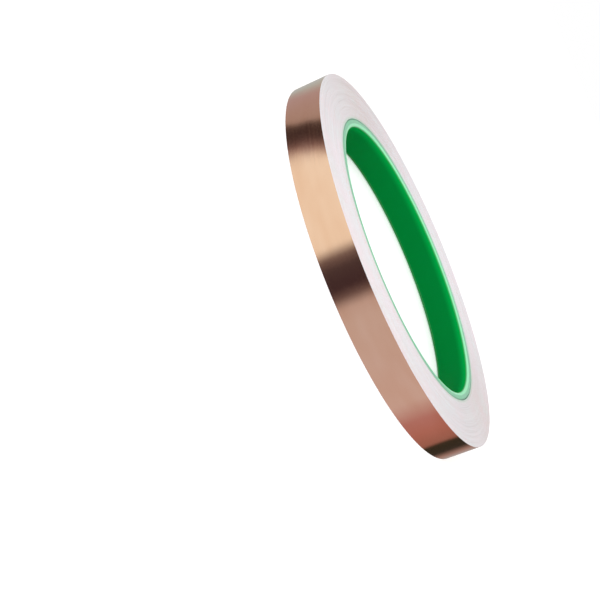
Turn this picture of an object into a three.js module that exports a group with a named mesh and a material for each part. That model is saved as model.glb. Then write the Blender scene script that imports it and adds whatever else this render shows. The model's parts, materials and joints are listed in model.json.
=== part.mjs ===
// A roll of adhesive copper foil tape on a plastic core, lying on its side.
// Units are millimetres. +Z is the roll's axis; the origin is the middle of the face that it lies on.
// The tape is a laminate of copper foil, adhesive and a paper release liner, wound foil side out.

import * as THREE from "three";

// Driving dimensions
const TAPE_WIDTH = 9.5; // 3/8 inch tape
const CORE_BORE_RADIUS = 38.1; // 3 inch bore
const CORE_WALL = 2.25;
const CORE_RECESS = 0.1; // each end of the core lies this far inside the tape's edges
const CORE_EDGE_ROUND = 0.7; // rounding of the core's inner edges
const CORE_OUTER_CHAMFER = 0.25; // chamfer of the core's outer edges
const FOIL_THICKNESS = 0.032;
const ADHESIVE_THICKNESS = 0.025;
const LINER_THICKNESS = 0.058;
const TURNS_UNDER = 111; // turns of tape under the outermost one
const STEPS_PER_TURN = 120; // facets to a turn, shared by every layer so that their faces meet
const TAIL_STEPS = 9; // facets of the free end that lifts
const TAIL_GAP_STEPS = 0.1; // clearance between the fixed turn and the free end, as a share of a facet
const LINER_LAG_STEPS = 0.12; // the liner's free end starts this much further on than the foil's
const END_STEP = 35; // facet at which the tape ends, counted from +X towards +Y

// Worked out from those
const TURN_THICKNESS = FOIL_THICKNESS + ADHESIVE_THICKNESS + LINER_THICKNESS;
const CORE_RADIUS = CORE_BORE_RADIUS + CORE_WALL;
const CORE_FIT = 0.01; // clearance between the core and the first turn
const STEP_ANGLE = (2 * Math.PI) / STEPS_PER_TURN;

const MATERIALS = {
  core: material({ color: 0x0b8f3c, roughness: 0.35, metalness: 0 }),
  wound_tape: material({ color: 0xddd2d0, roughness: 0.8, metalness: 0 }),
  foil: material({ color: 0xc98a66, roughness: 0.2, metalness: 1 }),
  adhesive: material({ color: 0xd9c7a8, roughness: 0.4, metalness: 0 }),
  liner: material({ color: 0xe9e2e0, roughness: 0.9, metalness: 0 }),
};

function material(finish) {
  return new THREE.MeshStandardMaterial(finish);
}

// Inner radius of the laminate at a place on the spiral, counted in facets from the last turn's start.
// The last turn ends at END_STEP, so it starts there one turn earlier, on top of TURNS_UNDER turns.
function spiralRadius(step) {
  const turns = TURNS_UNDER + (step - END_STEP) / STEPS_PER_TURN + 1;
  return CORE_RADIUS + CORE_FIT + TURN_THICKNESS * turns;
}

function pointAt(step, radius) {
  const angle = step * STEP_ANGLE;
  return [radius * Math.cos(angle), radius * Math.sin(angle)];
}

// Sweeps rows of [x, y] outline pairs into a closed strip of the tape's width.
// Each row holds the strip's inner and outer point at one place along the tape.
function stripGeometry(rows) {
  const positions = [];
  const indices = [];
  for (const [inner, outer] of rows) {
    positions.push(...inner, 0, ...outer, 0, ...outer, TAPE_WIDTH, ...inner, TAPE_WIDTH);
  }
  const sides = 4;
  const quad = (a, b, c, d) => indices.push(a, b, c, a, c, d);
  for (let row = 0; row + 1 < rows.length; row++) {
    const here = row * sides;
    const next = here + sides;
    for (let side = 0; side < sides; side++) {
      const other = (side + 1) % sides;
      quad(here + side, next + side, next + other, here + other);
    }
  }
  const last = (rows.length - 1) * sides;
  quad(0, 1, 2, 3);
  quad(last + 3, last + 2, last + 1, last);
  const geometry = new THREE.BufferGeometry();
  geometry.setAttribute("position", new THREE.Float32BufferAttribute(positions, 3));
  geometry.setIndex(indices);
  return geometry;
}

// One layer of the laminate from one place on the spiral to another, low and high above the liner's
// inner face. Rows fall on whole facets in between, so that neighbouring layers share their facets.
function layer(name, finish, from, to, low, high) {
  const places = [from];
  for (let step = Math.floor(from) + 1; step < to; step++) {
    places.push(step);
  }
  places.push(to);
  const rows = places.map((step) => {
    const radius = facetRadius(step);
    return [pointAt(step, radius + low), pointAt(step, radius + high)];
  });
  return named(name, new THREE.Mesh(stripGeometry(rows), finish));
}

// Spiral radius on the flat facet that holds a place between two whole facets' corners.
function facetRadius(step) {
  const start = Math.floor(step);
  const share = step - start;
  if (share === 0) {
    return spiralRadius(step);
  }
  const [x0, y0] = pointAt(start, spiralRadius(start));
  const [x1, y1] = pointAt(start + 1, spiralRadius(start + 1));
  const angle = step * STEP_ANGLE;
  // Where the ray at this angle meets the chord between the two corners
  const cross = (x1 - x0) * Math.sin(angle) - (y1 - y0) * Math.cos(angle);
  return (y0 * (x1 - x0) - x0 * (y1 - y0)) / cross;
}

function named(name, mesh) {
  mesh.name = name;
  return mesh;
}

// The moulded core: a plain tube with rounded inner edges and a light chamfer outside.
function core() {
  const low = CORE_RECESS;
  const high = TAPE_WIDTH - CORE_RECESS;
  const arcPoints = 3;
  // Points of a rounded inner edge, from the bore's wall to the end face
  const roundedEdge = (endZ, outwards) => {
    const points = [];
    for (let i = 0; i <= arcPoints; i++) {
      const angle = (Math.PI / 2) * (i / arcPoints);
      const inset = CORE_EDGE_ROUND * (1 - Math.cos(angle));
      const depth = CORE_EDGE_ROUND * (1 - Math.sin(angle));
      points.push(new THREE.Vector2(CORE_BORE_RADIUS + inset, endZ - outwards * depth));
    }
    return points;
  };
  const profile = [
    ...roundedEdge(low, -1),
    new THREE.Vector2(CORE_RADIUS - CORE_OUTER_CHAMFER, low),
    new THREE.Vector2(CORE_RADIUS, low + CORE_OUTER_CHAMFER),
    new THREE.Vector2(CORE_RADIUS, high - CORE_OUTER_CHAMFER),
    new THREE.Vector2(CORE_RADIUS - CORE_OUTER_CHAMFER, high),
    ...roundedEdge(high, 1).reverse(),
  ];
  profile.push(profile[0].clone());
  const geometry = new THREE.LatheGeometry(profile, STEPS_PER_TURN);
  geometry.rotateX(Math.PI / 2); // the lathe turns about Y; this stands its axis along Z
  geometry.rotateZ(Math.PI / 2);
  return named("core", new THREE.Mesh(geometry, MATERIALS.core));
}

// The tightly wound turns under the outermost one. Pressed together they act as one ring, whose
// outside is the spiral's last surface, with a step of one turn where the outermost turn starts.
function woundTape() {
  const first = END_STEP - STEPS_PER_TURN;
  const outline = new THREE.Shape();
  for (let step = first; step <= END_STEP; step++) {
    const [x, y] = pointAt(step, spiralRadius(step));
    if (step === first) {
      outline.moveTo(x, y);
    } else {
      outline.lineTo(x, y);
    }
  }
  outline.closePath();
  const hole = new THREE.Path();
  for (let step = STEPS_PER_TURN; step >= 0; step--) {
    const [x, y] = pointAt(step, CORE_RADIUS + CORE_FIT);
    if (step === STEPS_PER_TURN) {
      hole.moveTo(x, y);
    } else {
      hole.lineTo(x, y);
    }
  }
  outline.holes.push(hole);
  const geometry = new THREE.ExtrudeGeometry(outline, {
    depth: TAPE_WIDTH,
    bevelEnabled: false,
    curveSegments: 1,
  });
  return named("wound_tape", new THREE.Mesh(geometry, MATERIALS.wound_tape));
}

const LAYERS = [
  { name: "liner", finish: MATERIALS.liner, low: 0, high: LINER_THICKNESS },
  {
    name: "adhesive",
    finish: MATERIALS.adhesive,
    low: LINER_THICKNESS,
    high: LINER_THICKNESS + ADHESIVE_THICKNESS,
  },
  {
    name: "foil",
    finish: MATERIALS.foil,
    low: LINER_THICKNESS + ADHESIVE_THICKNESS,
    high: TURN_THICKNESS,
  },
];

// The outermost turn, up to where its free end lifts.
function outerTurn() {
  const from = END_STEP - STEPS_PER_TURN;
  const to = END_STEP - TAIL_STEPS - TAIL_GAP_STEPS;
  return LAYERS.map(({ name, finish, low, high }) =>
    layer(`outer_${name}`, finish, from, to, low, high),
  );
}

// The free end, which lifts off the roll while its liner stays nearer to it.
function freeEnd() {
  const root = END_STEP - TAIL_STEPS;
  return LAYERS.map(({ name, finish, low, high }) => {
    const from = name === "liner" ? root + LINER_LAG_STEPS : root;
    return layer(`free_end_${name}`, finish, from, END_STEP, low, high);
  });
}

const roll = new THREE.Group();
roll.add(core(), woundTape(), ...outerTurn(), ...freeEnd());

export default roll;
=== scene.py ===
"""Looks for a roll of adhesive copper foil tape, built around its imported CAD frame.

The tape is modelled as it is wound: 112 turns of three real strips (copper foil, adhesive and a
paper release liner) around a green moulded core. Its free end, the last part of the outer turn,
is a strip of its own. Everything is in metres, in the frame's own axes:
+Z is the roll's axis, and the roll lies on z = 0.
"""

import json
import math

import bpy
import numpy as np
from mathutils import Euler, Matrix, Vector


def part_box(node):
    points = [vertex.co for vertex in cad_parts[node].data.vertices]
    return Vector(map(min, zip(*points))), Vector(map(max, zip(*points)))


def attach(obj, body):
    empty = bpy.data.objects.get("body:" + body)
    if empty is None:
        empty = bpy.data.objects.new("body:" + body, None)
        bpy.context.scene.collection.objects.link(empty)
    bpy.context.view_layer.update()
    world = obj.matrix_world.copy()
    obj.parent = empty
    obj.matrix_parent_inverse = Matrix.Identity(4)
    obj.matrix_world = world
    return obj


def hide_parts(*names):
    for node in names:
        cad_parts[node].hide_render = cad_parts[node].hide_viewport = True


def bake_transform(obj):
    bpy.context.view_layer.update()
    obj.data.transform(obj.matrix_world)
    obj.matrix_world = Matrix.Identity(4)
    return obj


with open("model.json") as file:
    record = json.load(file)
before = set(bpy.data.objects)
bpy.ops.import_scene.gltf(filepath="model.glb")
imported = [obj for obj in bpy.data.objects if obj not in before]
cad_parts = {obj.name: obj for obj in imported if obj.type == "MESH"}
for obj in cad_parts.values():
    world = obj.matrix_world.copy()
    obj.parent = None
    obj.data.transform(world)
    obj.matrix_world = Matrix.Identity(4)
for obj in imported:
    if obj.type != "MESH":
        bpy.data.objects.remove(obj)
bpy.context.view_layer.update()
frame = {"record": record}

MM = 0.001

# ---------------------------------------------------------------- sizes

# From the frame
TAPE_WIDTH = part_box("wound_tape")[1].z
CORE_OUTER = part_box("core")[1].x
CORE_LOW, CORE_HIGH = (corner.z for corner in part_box("core"))
BORE_RADIUS = next(
    mount["dims"]["r_mm"] * MM for mount in frame["record"]["mounts"] if mount["name"] == "core_bore"
)

# The laminate's layers, from the roll's axis outwards, as thick as in the CAD model
LINER_THICKNESS = 0.058 * MM
ADHESIVE_THICKNESS = 0.025 * MM
FOIL_THICKNESS = 0.032 * MM
TURN_THICKNESS = LINER_THICKNESS + ADHESIVE_THICKNESS + FOIL_THICKNESS
LAYERS = {
    "liner": (0.0, LINER_THICKNESS),
    "adhesive": (LINER_THICKNESS, LINER_THICKNESS + ADHESIVE_THICKNESS),
    "foil": (LINER_THICKNESS + ADHESIVE_THICKNESS, TURN_THICKNESS),
}

# The winding, counted in turns from the tape's inner end
CORE_FIT = 0.01 * MM  # clearance between the core and the first turn
TURNS = 112
BURIED_TURNS = TURNS - 1
END_ANGLE = math.radians(105)  # where the tape ends, from +X towards +Y
FREE_END_TURNS = 9 / 120  # how much of the last turn lifts
LIFT_START = TURNS - FREE_END_TURNS

# The tape's edges
EDGE_WANDER = 0.03 * MM  # how far they wander to each side of their middle place
LAYER_RECESS = {"liner": 0.0, "adhesive": 0.013 * MM, "foil": 0.005 * MM}

# The core's rounded edges, as in the CAD model
CORE_INNER_ROUND = 0.70 * MM
CORE_OUTER_ROUND = 0.25 * MM

# How finely the meshes are divided, in steps to a turn, and in steps to a rounded edge
WINDING_STEPS = 144
OUTER_TURN_STEPS = 360
FREE_END_STEPS = 960
CORE_STEPS = 240
INNER_ROUND_STEPS = 10
OUTER_ROUND_STEPS = 4
SEAM_TURNS = 1e-4  # the last step before each end of a strip
SHARP_ANGLE = math.radians(40)  # faces that meet at more than this are shaded with a sharp edge

# ---------------------------------------------------------------- small tools


def smooth_noise(seed, knots, places):
    """Smooth random numbers from -1 to 1 at places from 0 to 1, with that many knots between."""
    values = np.random.default_rng(seed).uniform(-1, 1, knots + 3)
    at = np.asarray(places) * knots
    index = np.clip(np.floor(at).astype(int), 0, knots)
    share = at - index
    eased = share * share * (3 - 2 * share)
    return values[index] * (1 - eased) + values[index + 1] * eased


def mesh_object(name, vertices, faces, materials):
    mesh = bpy.data.meshes.new(name)
    mesh.from_pydata(vertices, [], faces)
    for material in materials:
        mesh.materials.append(material)
    mesh.polygons.foreach_set("use_smooth", [True] * len(mesh.polygons))
    made = bpy.data.objects.new(name, mesh)
    bpy.context.scene.collection.objects.link(made)
    return made


# ---------------------------------------------------------------- material nodes


def new_tree(name):
    """A material without nodes, and its node tree."""
    material = bpy.data.materials.new(name)
    material.use_nodes = True
    tree = material.node_tree
    tree.nodes.clear()
    return material, tree


def add(tree, kind, inputs=(), **settings):
    """Adds a node. Inputs are numbers, colours or other nodes' outputs, by socket name or place."""
    made = tree.nodes.new("ShaderNode" + kind)
    for key, value in settings.items():
        setattr(made, key, value)
    for socket, value in dict(inputs).items():
        if isinstance(value, bpy.types.NodeSocket):
            tree.links.new(value, made.inputs[socket])
        else:
            made.inputs[socket].default_value = value
    return made


def maths(tree, operation, *values):
    return add(tree, "Math", dict(enumerate(values)), operation=operation).outputs[0]


def remap(tree, value, low, high, to_low, to_high, smooth=False):
    """Maps value from low..high to to_low..to_high, and holds it there."""
    kind = "SMOOTHSTEP" if smooth else "LINEAR"
    inputs = {"Value": value, "From Min": low, "From Max": high, "To Min": to_low, "To Max": to_high}
    return add(tree, "MapRange", inputs, interpolation_type=kind).outputs["Result"]


def spread(tree, pattern, to_low, to_high, reach=0.2):
    """Maps the middle of a noise, 0.5 and that much to each side, to to_low..to_high."""
    return remap(tree, pattern, 0.5 - reach, 0.5 + reach, to_low, to_high)


def mix_colours(tree, share, first, second):
    made = add(tree, "Mix", {"Factor": share}, data_type="RGBA")
    for socket, value in (("A", first), ("B", second)):
        target = next(s for s in made.inputs if s.name == socket and s.type == "RGBA")
        if isinstance(value, bpy.types.NodeSocket):
            tree.links.new(value, target)
        else:
            target.default_value = (*value, 1)
    return next(s for s in made.outputs if s.type == "RGBA")


def tape_place(tree):
    """The place that strip() stores in the tape: along it, its radius and its height, in metres."""
    return add(tree, "Attribute", attribute_name="place").outputs["Vector"]


def object_place(tree):
    return add(tree, "TexCoord").outputs["Object"]


def noise(tree, scales, detail=2.0, roughness=0.5, place=None):
    """Noise with a scale per metre in each direction: along the tape, outwards and across it, or
    those of another place if one is given."""
    if place is None:
        place = tape_place(tree)
    scaled = add(tree, "VectorMath", {0: place, 1: scales}, operation="MULTIPLY").outputs[0]
    inputs = {"Vector": scaled, "Scale": 1.0, "Detail": detail, "Roughness": roughness}
    return add(tree, "TexNoise", inputs).outputs["Fac"]


def finish_material(tree, **inputs):
    """Adds the Principled shader. Underscores in the names stand for spaces."""
    shader = add(tree, "BsdfPrincipled", {key.replace("_", " "): v for key, v in inputs.items()})
    add(tree, "OutputMaterial", {"Surface": shader.outputs["BSDF"]})


def bump(tree, height, strength, distance, under=None):
    """A bump from height, on top of another bump if one is given."""
    inputs = {"Height": height, "Strength": strength, "Distance": distance}
    if under is not None:
        inputs["Normal"] = under
    return add(tree, "Bump", inputs).outputs["Normal"]


# ---------------------------------------------------------------- materials

COPPER = (0.92, 0.63, 0.44)
COPPER_WARM = (0.88, 0.57, 0.38)
SLIT_COPPER = (0.86, 0.74, 0.69)
SLIT_COPPER_DARK = (0.70, 0.56, 0.50)
COATED_COPPER = (0.76, 0.46, 0.33)
COATED_COPPER_DARK = (0.71, 0.42, 0.30)
COATED_COPPER_PALE = (0.82, 0.58, 0.46)
ADHESIVE = (0.86, 0.84, 0.84)
ADHESIVE_DARK = (0.74, 0.71, 0.70)
PAPER_PINK = (0.98, 0.91, 0.985)
PAPER_BLUE = (0.90, 0.965, 1.0)
PAPER_DARK = (0.84, 0.82, 0.87)
# Painted green bounce light on the paper beside the core
PAPER_PAINTED_GREEN_BOUNCE = (0.45, 0.80, 0.60)
GREEN_DEEP = (0.0, 0.165, 0.027)
# Painted light on the core: a glow in the bore towards its rims, and mint on its rounded rims
GREEN_PAINTED_GLOW = (0.0, 0.30, 0.05)
GREEN_PAINTED_RIM_LIGHT = (0.33, 0.88, 0.51)
GREEN_END_FACE = (0.19, 0.59, 0.34)
# Painted shade in the groove where the tape meets the core
GREEN_PAINTED_GROOVE_SHADE = (0.08, 0.27, 0.16)
GREEN_FLOW = (0.0, 0.10, 0.02)

# The painted green bounce light on the paper, standing in for light from the green core: how strong
# it is beside the core, and the radius where it ends
PAINTED_BOUNCE_STRENGTH = 0.7
PAINTED_BOUNCE_END = CORE_OUTER + 1.1 * MM

# Where the core's greens change, from where the change starts to where it is complete: in the
# bore, distances from a height a little below the middle, and on the end faces, radii. The paler
# greens in the bore and on the rims are a painted glow of light through the translucent rims. The glow
# is kept narrower at the lower rim by the floor, as painted shade there, and the groove's dark green
# is painted shade.
HALF_CORE = (CORE_HIGH - CORE_LOW) / 2
CORE_MIDDLE = (CORE_LOW + CORE_HIGH) / 2
# Both heights lie below the middle, so the painted glow is narrower at the lower rim by the floor:
# painted shade there
LEAST_GLOW_HEIGHT = CORE_MIDDLE - 0.8 * MM
RIM_LIGHT_CENTRE = CORE_MIDDLE - 0.2 * MM
PAINTED_GLOW_RANGE = (0.58 * HALF_CORE, 1.04 * HALF_CORE)
PAINTED_RIM_LIGHT_RANGE = (0.93 * HALF_CORE, 1.02 * HALF_CORE)
END_FACE_RANGE = (BORE_RADIUS + 0.75 * MM, BORE_RADIUS + 1.05 * MM)
# The radii of the painted shade in the groove by the tape
PAINTED_GROOVE_SHADE_RANGE = (CORE_OUTER - 0.5 * MM, CORE_OUTER - 0.15 * MM)

# How high the bumps are
FINE_RELIEF = 0.02 * MM
GRAIN_RELIEF = 0.03 * MM
WAVE_RELIEF = 0.04 * MM


def copper_face():
    """Bright rolled foil: fine rolling lines along the tape, and a faint change of tone."""
    material, tree = new_tree("copper_face")
    lines = noise(tree, (6.0, 0.0, 9000.0), detail=3.0, roughness=0.6)
    clouds = noise(tree, (60.0, 0.0, 160.0))
    waves = noise(tree, (80.0, 0.0, 110.0), detail=1.0)
    wavy = bump(tree, waves, 1.0, WAVE_RELIEF)
    finish_material(
        tree,
        Base_Color=mix_colours(tree, spread(tree, clouds, 0, 1, reach=0.15), COPPER, COPPER_WARM),
        Metallic=1.0,
        Roughness=maths(tree, "ADD", spread(tree, lines, 0.06, 0.11), spread(tree, clouds, 0, 0.02)),
        Normal=bump(tree, lines, 0.07, FINE_RELIEF, under=wavy),
    )
    return material


def ring_tone(tree, low, high):
    """A tone that changes every few turns and slowly along each turn, alike in the foil and paper."""
    fine = noise(tree, (14.0, 1700.0, 0.0), roughness=0.65)
    return spread(tree, fine, low, high, reach=0.14)


def copper_edge():
    """The foil's slit edge, seen on the roll's sides: duller and a little smeared."""
    material, tree = new_tree("copper_edge")
    finish_material(
        tree,
        Base_Color=mix_colours(tree, ring_tone(tree, 0, 1), SLIT_COPPER, SLIT_COPPER_DARK),
        Metallic=1.0,
        Roughness=ring_tone(tree, 0.38, 0.55),
    )
    return material


def adhesive_face():
    """Clear acrylic adhesive on the foil's back, seen where the liner is peeled off it: the copper
    shows through, dulled, under a tacky gloss with fine coating streaks."""
    material, tree = new_tree("adhesive_face")
    streaks = noise(tree, (12.0, 0.0, 2500.0), detail=3.0, roughness=0.6)
    mottle = noise(tree, (700.0, 0.0, 700.0))
    copper = mix_colours(tree, spread(tree, streaks, 0, 1), COATED_COPPER, COATED_COPPER_DARK)
    pale_share = remap(tree, mottle, 0.4, 0.7, 0, 0.3)
    finish_material(
        tree,
        Base_Color=mix_colours(tree, pale_share, copper, COATED_COPPER_PALE),
        Metallic=0.75,
        Roughness=spread(tree, mottle, 0.30, 0.42),
        Coat_Weight=0.6,
        Coat_Roughness=0.15,
        Normal=bump(tree, streaks, 0.12, FINE_RELIEF),
    )
    return material


def adhesive_edge():
    """The adhesive's slit edge on the roll's sides: milky between the layers of paper and foil."""
    material, tree = new_tree("adhesive_edge")
    streaks = noise(tree, (40.0, 900.0, 1500.0))
    finish_material(
        tree,
        Base_Color=mix_colours(tree, spread(tree, streaks, 0, 1), ADHESIVE, ADHESIVE_DARK),
        Roughness=spread(tree, streaks, 0.22, 0.42),
        Normal=bump(tree, streaks, 0.2, FINE_RELIEF),
    )
    return material


def liner_paper():
    """Glassine release paper: near white with fine fibres and a pearly change of tint over the
    roll's sides. Beside the core it has painted green bounce light, standing in for light from the
    core."""
    material, tree = new_tree("liner_paper")
    fibres = noise(tree, (2500.0, 0.0, 2500.0), detail=3.0, roughness=0.6)
    pearl = noise(tree, (150.0, 150.0, 0.0), place=object_place(tree))
    light = mix_colours(tree, spread(tree, pearl, 0, 1, reach=0.15), PAPER_PINK, PAPER_BLUE)
    white = mix_colours(tree, ring_tone(tree, 0, 1), light, PAPER_DARK)
    radius = add(tree, "SeparateXYZ", {0: tape_place(tree)}).outputs["Y"]
    # Painted green bounce: the paper is tinted green beside the core, in place of light from it
    painted_green_bounce = remap(tree, radius, CORE_OUTER, PAINTED_BOUNCE_END, PAINTED_BOUNCE_STRENGTH, 0.0, smooth=True)
    finish_material(
        tree,
        Base_Color=mix_colours(tree, painted_green_bounce, white, PAPER_PAINTED_GREEN_BOUNCE),
        Roughness=spread(tree, fibres, 0.50, 0.68),
        Normal=bump(tree, fibres, 0.15, FINE_RELIEF),
    )
    return material


def core_plastic(name, gloss):
    """Translucent green moulded plastic: deep green in the bore, paler towards its thin rims with a
    painted glow, with mint painted light on the rounded rims, and with painted shade in the groove by
    the tape.
    """
    material, tree = new_tree(name)
    place = object_place(tree)
    parts = add(tree, "SeparateXYZ", {0: place}).outputs
    flat = add(tree, "CombineXYZ", {"X": parts["X"], "Y": parts["Y"]}).outputs[0]
    radius = add(tree, "VectorMath", {0: flat}, operation="LENGTH").outputs["Value"]

    def distance_from(height):
        return maths(tree, "ABSOLUTE", maths(tree, "SUBTRACT", parts["Z"], height))

    green = GREEN_DEEP
    # Painted light: the glow in the bore and the mint rims pale the green; the groove's painted shade
    # darkens it
    for value, (low, high), next_green in (
        (distance_from(LEAST_GLOW_HEIGHT), PAINTED_GLOW_RANGE, GREEN_PAINTED_GLOW),
        (distance_from(RIM_LIGHT_CENTRE), PAINTED_RIM_LIGHT_RANGE, GREEN_PAINTED_RIM_LIGHT),
        (radius, END_FACE_RANGE, GREEN_END_FACE),
        # Painted shade in the groove where the tape starts
        (radius, PAINTED_GROOVE_SHADE_RANGE, GREEN_PAINTED_GROOVE_SHADE),
    ):
        share = remap(tree, value, low, high, 0, 1, smooth=True)
        green = mix_colours(tree, share, green, next_green)
    grain = noise(tree, (900.0, 900.0, 900.0), place=place)
    flow = noise(tree, (30.0, 30.0, 120.0), place=place)
    finish_material(
        tree,
        Base_Color=mix_colours(tree, spread(tree, flow, 0, 0.10), green, GREEN_FLOW),
        Roughness=spread(tree, grain, 0.30, 0.40),
        Specular_IOR_Level=gloss,
        Subsurface_Weight=0.4,
        Subsurface_Radius=(0.2, 1.0, 0.4),
        Subsurface_Scale=0.5 * MM,
        Normal=bump(tree, grain, 0.08, GRAIN_RELIEF),
    )
    return material


# ---------------------------------------------------------------- the wound tape


def winding_radius(turn):
    """The liner's inner radius at a place counted in turns from the tape's inner end."""
    return CORE_OUTER + CORE_FIT + TURN_THICKNESS * turn


def edge_wander(turn):
    """How far the tape's edges lie from their middle place: it drifts over many turns, and a
    little within each turn, as a slit tape does when it is wound."""
    place = np.asarray(turn) / TURNS
    drift = 0.20 * smooth_noise(seed=11, knots=9, places=place)
    steps = 0.40 * smooth_noise(seed=12, knots=45, places=place)
    turn_by_turn = 0.40 * smooth_noise(seed=13, knots=170, places=place)
    return EDGE_WANDER * (drift + steps + turn_by_turn)


def turn_places(start, end, steps_per_turn):
    """Places from start to end, with one more just inside each end, so that the smooth normals
    there match the next piece of the same strip."""
    inner = np.arange(start, end, 1 / steps_per_turn)[1:]
    inner = inner[(inner > start + 2 * SEAM_TURNS) & (inner < end - 2 * SEAM_TURNS)]
    return np.concatenate([[start, start + SEAM_TURNS], inner, [end - SEAM_TURNS, end]])


def strip(name, layer, start, end, steps_per_turn, materials):
    """One layer of the tape between two places, as a closed strip. Its wide faces have the first
    material and its slit edges the last."""
    turns = turn_places(start, end, steps_per_turn)
    angle = END_ANGLE + 2 * math.pi * turns
    low, high = LAYERS[layer]
    inner = winding_radius(turns) + low
    outer = winding_radius(turns) + high
    recess = LAYER_RECESS[layer]
    bottom = EDGE_WANDER + edge_wander(turns) + recess
    top = TAPE_WIDTH - EDGE_WANDER + edge_wander(turns) - recess
    along = 2 * math.pi * turns * (winding_radius(0) + winding_radius(turns)) / 2
    corners, places = [], []
    for radius, height in ((inner, bottom), (outer, bottom), (outer, top), (inner, top)):
        corners.append(np.stack([radius * np.cos(angle), radius * np.sin(angle), height], 1))
        places.append(np.stack([along, radius, height], 1))
    sides = len(corners)
    vertices = np.stack(corners, 1).reshape(-1, 3)
    place = np.stack(places, 1).reshape(-1, 3)
    faces, slots = [], []
    face_slot, edge_slot = 0, len(materials) - 1
    for row in range(len(turns) - 1):
        here = sides * row
        there = here + sides
        for side in range(sides):
            other = (side + 1) % sides
            faces.append((here + side, there + side, there + other, here + other))
            slots.append(edge_slot if side in (0, 2) else face_slot)
    last = sides * (len(turns) - 1)
    faces += [(0, 1, 2, 3), (last + 3, last + 2, last + 1, last)]
    slots += [edge_slot, edge_slot]
    made = mesh_object(name, vertices.tolist(), faces, materials)
    made.data.polygons.foreach_set("material_index", slots)
    attribute = made.data.attributes.new("place", "FLOAT_VECTOR", "POINT")
    attribute.data.foreach_set("vector", place.astype(np.float32).ravel())
    made.data.set_sharp_from_angle(angle=SHARP_ANGLE)
    return made


# ---------------------------------------------------------------- the core


def arc(centre_r, centre_z, radius, start, end, steps):
    """Points of an arc in the plane of radius and height, angles in degrees."""
    angles = np.radians(np.linspace(start, end, steps + 1))
    return [(centre_r + radius * math.cos(a), centre_z + radius * math.sin(a)) for a in angles]


def core_ring(rim_material, wall_material):
    """The moulded core: rounded inner edges, and small rounds where the tape starts. The bore's
    straight wall has a material of its own."""
    inner_r = BORE_RADIUS + CORE_INNER_ROUND
    outer_r = CORE_OUTER - CORE_OUTER_ROUND
    profile = [
        *arc(outer_r, CORE_LOW + CORE_OUTER_ROUND, CORE_OUTER_ROUND, -90, 0, OUTER_ROUND_STEPS),
        *arc(outer_r, CORE_HIGH - CORE_OUTER_ROUND, CORE_OUTER_ROUND, 0, 90, OUTER_ROUND_STEPS),
        *arc(inner_r, CORE_HIGH - CORE_INNER_ROUND, CORE_INNER_ROUND, 90, 180, INNER_ROUND_STEPS),
        *arc(inner_r, CORE_LOW + CORE_INNER_ROUND, CORE_INNER_ROUND, 180, 270, INNER_ROUND_STEPS),
    ]
    count = len(profile)
    rim_slot, wall_slot = 0, 1
    vertices, faces, slots = [], [], []
    for step in range(CORE_STEPS):
        angle = 2 * math.pi * step / CORE_STEPS
        for radius, height in profile:
            vertices.append((radius * math.cos(angle), radius * math.sin(angle), height))
        here = step * count
        there = (step + 1) % CORE_STEPS * count
        for point in range(count):
            other = (point + 1) % count
            faces.append((here + point, there + point, there + other, here + other))
            on_wall = profile[point][0] == profile[other][0] == BORE_RADIUS
            slots.append(wall_slot if on_wall else rim_slot)
    made = mesh_object("core_ring", vertices, faces, [rim_material, wall_material])
    made.data.polygons.foreach_set("material_index", slots)
    return made


# ---------------------------------------------------------------- build the roll

LAYER_MATERIALS = {
    "foil": [copper_face(), copper_edge()],
    "adhesive": [adhesive_face(), adhesive_edge()],
    "liner": [liner_paper()],
}
RIM_GLOSS = 0.5
WALL_GLOSS = 0.01

core = core_ring(core_plastic("core_rim", RIM_GLOSS), core_plastic("core_wall", WALL_GLOSS))
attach(core, "roll")
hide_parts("core")


for layer, materials in LAYER_MATERIALS.items():
    winding = strip(f"{layer}_winding", layer, 0, BURIED_TURNS, WINDING_STEPS, materials)
    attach(winding, "roll")
    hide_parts("wound_tape")

    outer = strip(f"{layer}_outer_turn", layer, BURIED_TURNS, LIFT_START, OUTER_TURN_STEPS, materials)
    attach(outer, "roll")
    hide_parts(f"outer_{layer}")

    free = strip(f"{layer}_free_end", layer, LIFT_START, TURNS, FREE_END_STEPS, materials)
    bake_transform(free)
    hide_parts(f"free_end_{layer}")

# ---------------------------------------------------------------- floor, light and camera

FLOOR_SIZE = 3.0  # from its middle to each side
FLOOR_DEPTH = 0.1 * MM  # how far it lies under the roll
FLOOR_PALE = (0.95, 0.95, 0.95)
FLOOR_GREY = (0.93, 0.93, 0.93)
FLOOR_GLOW = 0.35  # brightens it to the white of the backdrop

# What the copper's band mirrors around the studio: the compass angle in degrees, from -Y (0)
# towards +X (90), and the colour there. Three dark gaps stand between large soft panels.
PANELS = [
    (-180, (0.50, 0.52, 0.52)),
    (-155, (0.46, 0.52, 0.52)),
    (-138, (0.44, 0.35, 0.38)),
    (-106.3, (0.42, 0.35, 0.36)),
    (-104.8, (0.043, 0.027, 0.026)),
    (-92, (0.054, 0.036, 0.040)),
    (-86, (0.12, 0.070, 0.080)),
    (-81, (0.34, 0.24, 0.26)),
    (-74, (0.93, 0.94, 0.92)),
    (-22, (0.93, 0.94, 0.92)),
    (-16, (0.17, 0.130, 0.140)),
    (-10, (0.07, 0.050, 0.060)),
    (1, (0.05, 0.030, 0.040)),
    (6, (0.14, 0.100, 0.110)),
    (12, (0.54, 0.470, 0.500)),
    (20, (0.58, 0.530, 0.575)),
    (78, (0.60, 0.525, 0.575)),
    (94, (0.46, 0.240, 0.260)),
    (106, (0.44, 0.205, 0.200)),
    (122, (0.34, 0.170, 0.155)),
    (125, (0.035, 0.035, 0.025)),
    (139, (0.04, 0.036, 0.030)),
    (150, (0.36, 0.240, 0.220)),
    (172, (0.50, 0.520, 0.520)),
]
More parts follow.
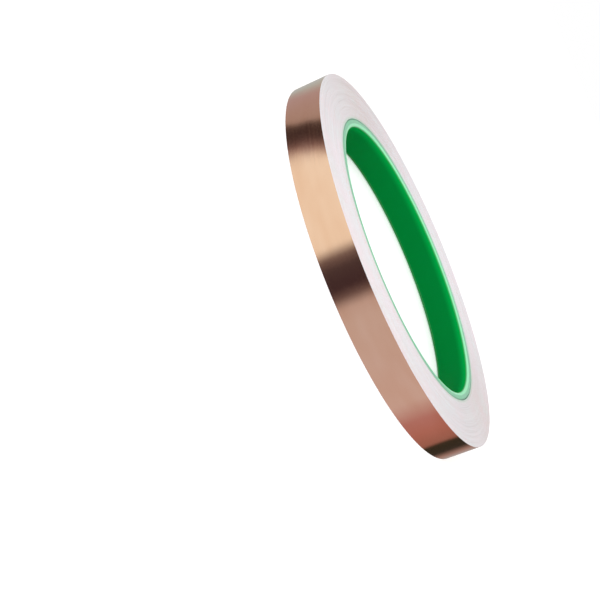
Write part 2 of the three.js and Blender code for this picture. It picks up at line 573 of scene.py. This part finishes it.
# The panels past -60 degrees lean: their sides shift by this angle, one way at the lowest directions
# that the band mirrors and the other way at the highest. A direction's height is its own Z.
LEAN = math.radians(14)
LEAN_FULL_AT = math.radians(-75)
LEAN_NONE_AT = math.radians(-60)
LEAN_LOWEST = -0.287
LEAN_HIGHEST = -0.187

HORIZON_BLUR = 0.03  # the panels give way to the sky from this far under the horizon to as far over it
SKY_SEEN = (1.0, 1.0, 1.0)  # the white that the camera sees behind the roll
SKY_LIGHT = (0.77, 0.77, 0.77)  # the white that lights the roll and that it mirrors

KEY_PLACE = Vector((-0.15, -0.9, 0.36))
KEY_SIZE = 0.8
KEY_POWER = 6.3  # watts

CAMERA_PLACE = (0, -0.3168, 0.0742)
CAMERA_PITCH = math.radians(90 - 17.175)
CAMERA_HEADING = math.radians(0.141)
CAMERA_ROLL = math.radians(67.722)
LENS = 72  # millimetres, and so is the sensor's width
SENSOR_WIDTH = 36
CLIP_START = 0.01


def floor():
    size, height = FLOOR_SIZE, -FLOOR_DEPTH
    corners = [(x, y, height) for x, y in ((-size, -size), (size, -size), (size, size), (-size, size))]
    material, tree = new_tree("floor_paper")
    shade = add(tree, "TexNoise", {"Scale": 2.0, "Detail": 1.0}).outputs["Fac"]
    finish_material(
        tree,
        Base_Color=mix_colours(tree, shade, FLOOR_GREY, FLOOR_PALE),
        Roughness=0.9,
        Emission_Color=(1, 1, 1, 1),
        Emission_Strength=FLOOR_GLOW,
    )
    made = mesh_object("floor", corners, [(0, 1, 2, 3)], [material])
    made.visible_glossy = False  # the copper mirrors the studio's panels below, and not the floor


def studio():
    """Plain white light from above. Below the horizon, where only mirrored rays go, it holds the
    panels that the band reflects. Those on the left lean."""
    world = bpy.data.worlds.new("studio")
    bpy.context.scene.world = world
    world.use_nodes = True
    world.cycles.sampling_method = "NONE"
    tree = world.node_tree
    tree.nodes.clear()
    direction = add(tree, "TexCoord").outputs["Generated"]
    parts = add(tree, "SeparateXYZ", {0: direction}).outputs
    compass = maths(tree, "ARCTAN2", parts["X"], maths(tree, "MULTIPLY", parts["Y"], -1.0))
    on_left = remap(tree, compass, LEAN_FULL_AT, LEAN_NONE_AT, 1, 0)
    shift = remap(tree, parts["Z"], LEAN_LOWEST, LEAN_HIGHEST, LEAN, -LEAN)
    leaning = maths(tree, "ADD", compass, maths(tree, "MULTIPLY", on_left, shift))
    share = maths(tree, "MULTIPLY_ADD", leaning, 1 / (2 * math.pi), 0.5)
    ramp = add(tree, "ValToRGB", {"Fac": share})
    stops = ramp.color_ramp.elements
    while len(stops) < len(PANELS):
        stops.new(1.0)
    for stop, (angle, colour) in zip(stops, PANELS, strict=True):
        stop.position = (angle + 180) / 360
        stop.color = (*colour, 1)
    above = remap(tree, parts["Z"], -HORIZON_BLUR, HORIZON_BLUR, 0, 1, smooth=True)
    seen = add(tree, "LightPath").outputs["Is Camera Ray"]
    sky = mix_colours(tree, seen, SKY_LIGHT, SKY_SEEN)
    colour = mix_colours(tree, maths(tree, "MAXIMUM", above, seen), ramp.outputs["Color"], sky)
    background = add(tree, "Background", {"Color": colour, "Strength": 1.0})
    add(tree, "OutputWorld", {"Surface": background.outputs[0]})


def key_light():
    """A large soft panel above the camera's side, which brings out the relief of the wound edges."""
    data = bpy.data.lights.new("key_light", "AREA")
    data.shape = "DISK"
    data.size = KEY_SIZE
    data.energy = KEY_POWER
    made = bpy.data.objects.new("key_light", data)
    bpy.context.scene.collection.objects.link(made)
    made.visible_glossy = False  # so that it leaves no glare on the paper's edges
    made.location = KEY_PLACE
    made.rotation_euler = (-KEY_PLACE).to_track_quat("-Z", "Y").to_euler()


def camera():
    """Beside and a little above the roll, turned on its side so that the roll stands on its rim."""
    data = bpy.data.cameras.new("camera")
    data.sensor_width = SENSOR_WIDTH
    data.lens = LENS
    data.clip_start = CLIP_START
    made = bpy.data.objects.new("camera", data)
    bpy.context.scene.collection.objects.link(made)
    made.location = CAMERA_PLACE
    look = Euler((CAMERA_PITCH, 0, CAMERA_HEADING), "XYZ").to_matrix()
    roll = Euler((0, 0, CAMERA_ROLL), "XYZ").to_matrix()
    made.rotation_euler = (look @ roll).to_euler()
    bpy.context.scene.camera = made


floor()
studio()
key_light()
camera()
bpy.context.scene.view_settings.view_transform = "Standard"
